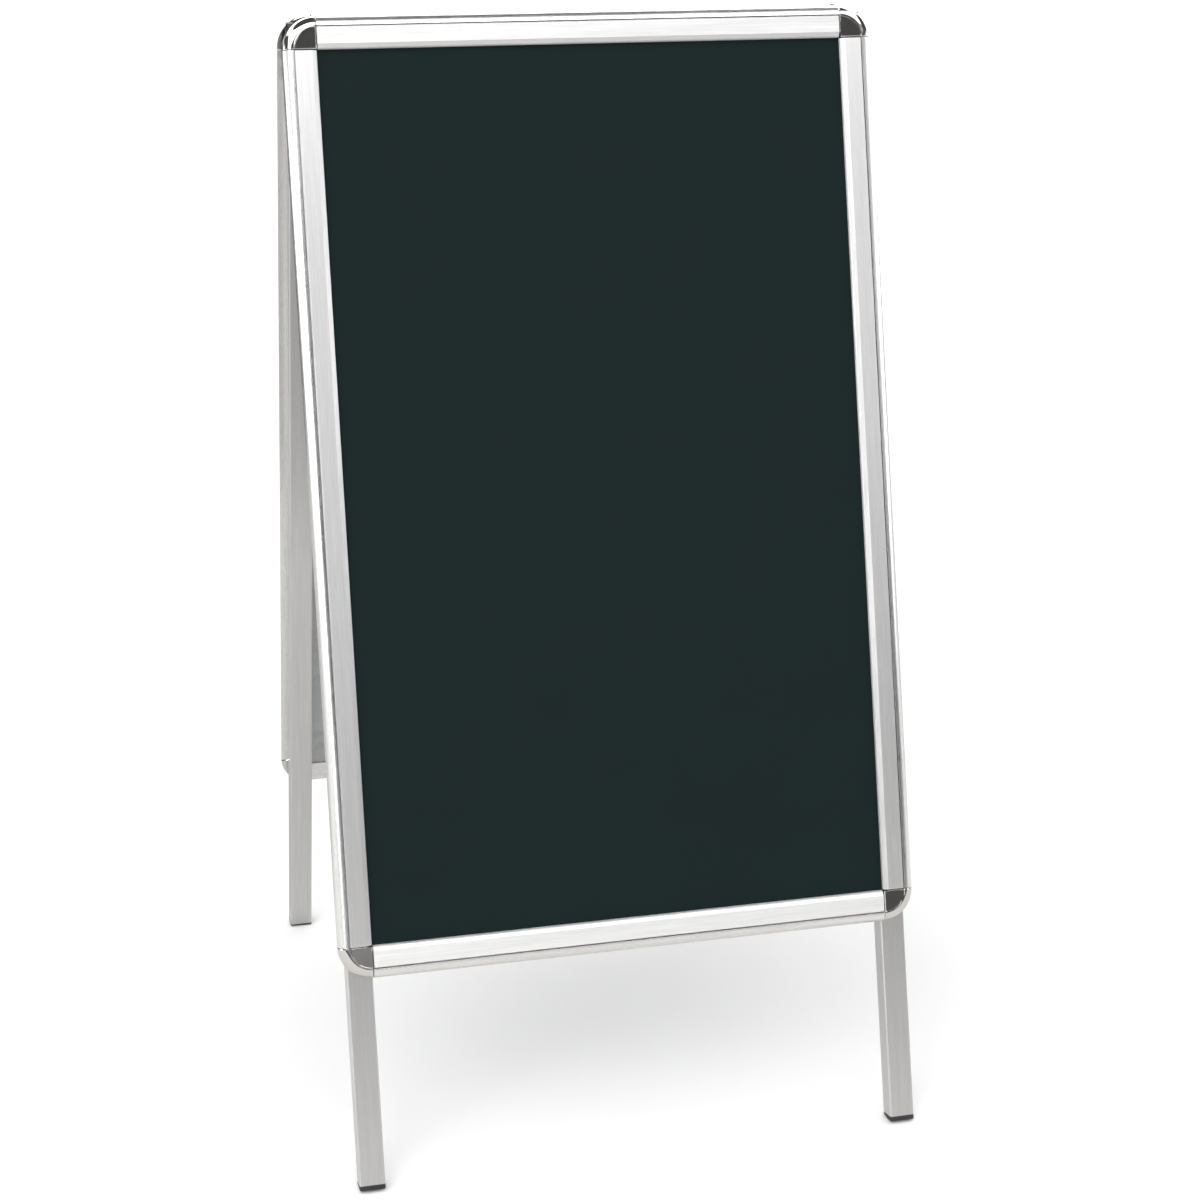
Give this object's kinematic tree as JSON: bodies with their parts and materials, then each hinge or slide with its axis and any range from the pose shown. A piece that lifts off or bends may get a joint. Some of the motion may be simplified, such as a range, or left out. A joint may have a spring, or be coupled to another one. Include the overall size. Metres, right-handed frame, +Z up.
{
  "type": "sandwich board",
  "caption": "Folding two-sided sandwich board: two snap-frame chalkboard panels with round bright corners on tube legs, hinged at the top.",
  "frame": {"origin": "centre of the footprint on the floor, under the hinge axis", "axes": "+X along the hinge axis, to the right as seen from the front; -Y out of the front face; +Z up"},
  "size_m": [0.58, 0.5732, 1.0837],
  "materials": {
    "rail_aluminium": "satin anodised, fine lengthwise grain",
    "cover_aluminium": "satin anodised, fine lengthwise grain",
    "corner_chrome": "bright chromed casting",
    "galvanised_sheet": "dull zinc-coated sheet",
    "chalkboard_face": "matt slate coating on a hard board",
    "leg_aluminium": "satin anodised tube",
    "hinge_nylon": "moulded glass-filled nylon",
    "foot_rubber": "moulded rubber",
    "spring_steel": "bare spring strip",
    "screw_steel": "bright zinc-plated",
    "pin_steel": "bright zinc-plated"
  },
  "bodies": {
    "front_leaf": {"front_back_sheet": "galvanised_sheet", "front_bottom_left_corner": "corner_chrome", "front_bottom_rail": "rail_aluminium", "front_bottom_right_corner": "corner_chrome", "front_chalkboard": "chalkboard_face", "front_corner_screws": "screw_steel", "front_cover_springs": "spring_steel", "front_hinge_screws": "screw_steel", "front_left_foot": "foot_rubber", "front_left_hinge_head": "hinge_nylon", "front_left_leg": "leg_aluminium", "front_left_rail": "rail_aluminium", "front_leg_screws": "screw_steel", "front_right_foot": "foot_rubber", "front_right_hinge_head": "hinge_nylon", "front_right_leg": "leg_aluminium", "front_right_rail": "rail_aluminium", "front_top_left_corner": "corner_chrome", "front_top_rail": "rail_aluminium", "front_top_right_corner": "corner_chrome", "left_hinge_pin": "pin_steel", "right_hinge_pin": "pin_steel"},
    "rear_leaf": {"rear_back_sheet": "galvanised_sheet", "rear_bottom_left_corner": "corner_chrome", "rear_bottom_rail": "rail_aluminium", "rear_bottom_right_corner": "corner_chrome", "rear_chalkboard": "chalkboard_face", "rear_corner_screws": "screw_steel", "rear_cover_springs": "spring_steel", "rear_hinge_screws": "screw_steel", "rear_left_foot": "foot_rubber", "rear_left_hinge_head": "hinge_nylon", "rear_left_leg": "leg_aluminium", "rear_left_rail": "rail_aluminium", "rear_leg_screws": "screw_steel", "rear_right_foot": "foot_rubber", "rear_right_hinge_head": "hinge_nylon", "rear_right_leg": "leg_aluminium", "rear_right_rail": "rail_aluminium", "rear_top_left_corner": "corner_chrome", "rear_top_rail": "rail_aluminium", "rear_top_right_corner": "corner_chrome"},
    "front_bottom_cover": {"front_bottom_cover": "cover_aluminium"},
    "front_left_cover": {"front_left_cover": "cover_aluminium"},
    "front_right_cover": {"front_right_cover": "cover_aluminium"},
    "front_top_cover": {"front_top_cover": "cover_aluminium"},
    "rear_bottom_cover": {"rear_bottom_cover": "cover_aluminium"},
    "rear_left_cover": {"rear_left_cover": "cover_aluminium"},
    "rear_right_cover": {"rear_right_cover": "cover_aluminium"},
    "rear_top_cover": {"rear_top_cover": "cover_aluminium"}
  },
  "joints": [
    {"name": "leaf_fold", "type": "hinge", "parent": "front_leaf", "child": "rear_leaf", "pos_m": [0, 0, 1.027], "axis": [-1, 0, 0], "range_deg": [0, 29]},
    {"name": "front_bottom_cover_flip", "type": "hinge", "parent": "front_leaf", "child": "front_bottom_cover", "pos_m": [0, -0.24211, 0.21702], "axis": [1, 0, 0], "range_deg": [0, 90]},
    {"name": "front_left_cover_flip", "type": "hinge", "parent": "front_leaf", "child": "front_left_cover", "pos_m": [-0.2768, -0.1315, 0.64475], "axis": [0, -0.2504, -0.9681], "range_deg": [0, 90]},
    {"name": "front_top_cover_flip", "type": "hinge", "parent": "front_leaf", "child": "front_top_cover", "pos_m": [0, -0.02088, 1.07248], "axis": [-1, 0, 0], "range_deg": [0, 90]},
    {"name": "front_right_cover_flip", "type": "hinge", "parent": "front_leaf", "child": "front_right_cover", "pos_m": [0.2768, -0.1315, 0.64475], "axis": [0, 0.2504, 0.9681], "range_deg": [0, 90]},
    {"name": "rear_bottom_cover_flip", "type": "hinge", "parent": "rear_leaf", "child": "rear_bottom_cover", "pos_m": [0, 0.24211, 0.21702], "axis": [-1, 0, 0], "range_deg": [0, 90]},
    {"name": "rear_right_cover_flip", "type": "hinge", "parent": "rear_leaf", "child": "rear_right_cover", "pos_m": [0.2768, 0.1315, 0.64475], "axis": [0, 0.2504, -0.9681], "range_deg": [0, 90]},
    {"name": "rear_top_cover_flip", "type": "hinge", "parent": "rear_leaf", "child": "rear_top_cover", "pos_m": [0, 0.02088, 1.07248], "axis": [1, 0, 0], "range_deg": [0, 90]},
    {"name": "rear_left_cover_flip", "type": "hinge", "parent": "rear_leaf", "child": "rear_left_cover", "pos_m": [-0.2768, 0.1315, 0.64475], "axis": [0, -0.2504, 0.9681], "range_deg": [0, 90]}
  ]
}
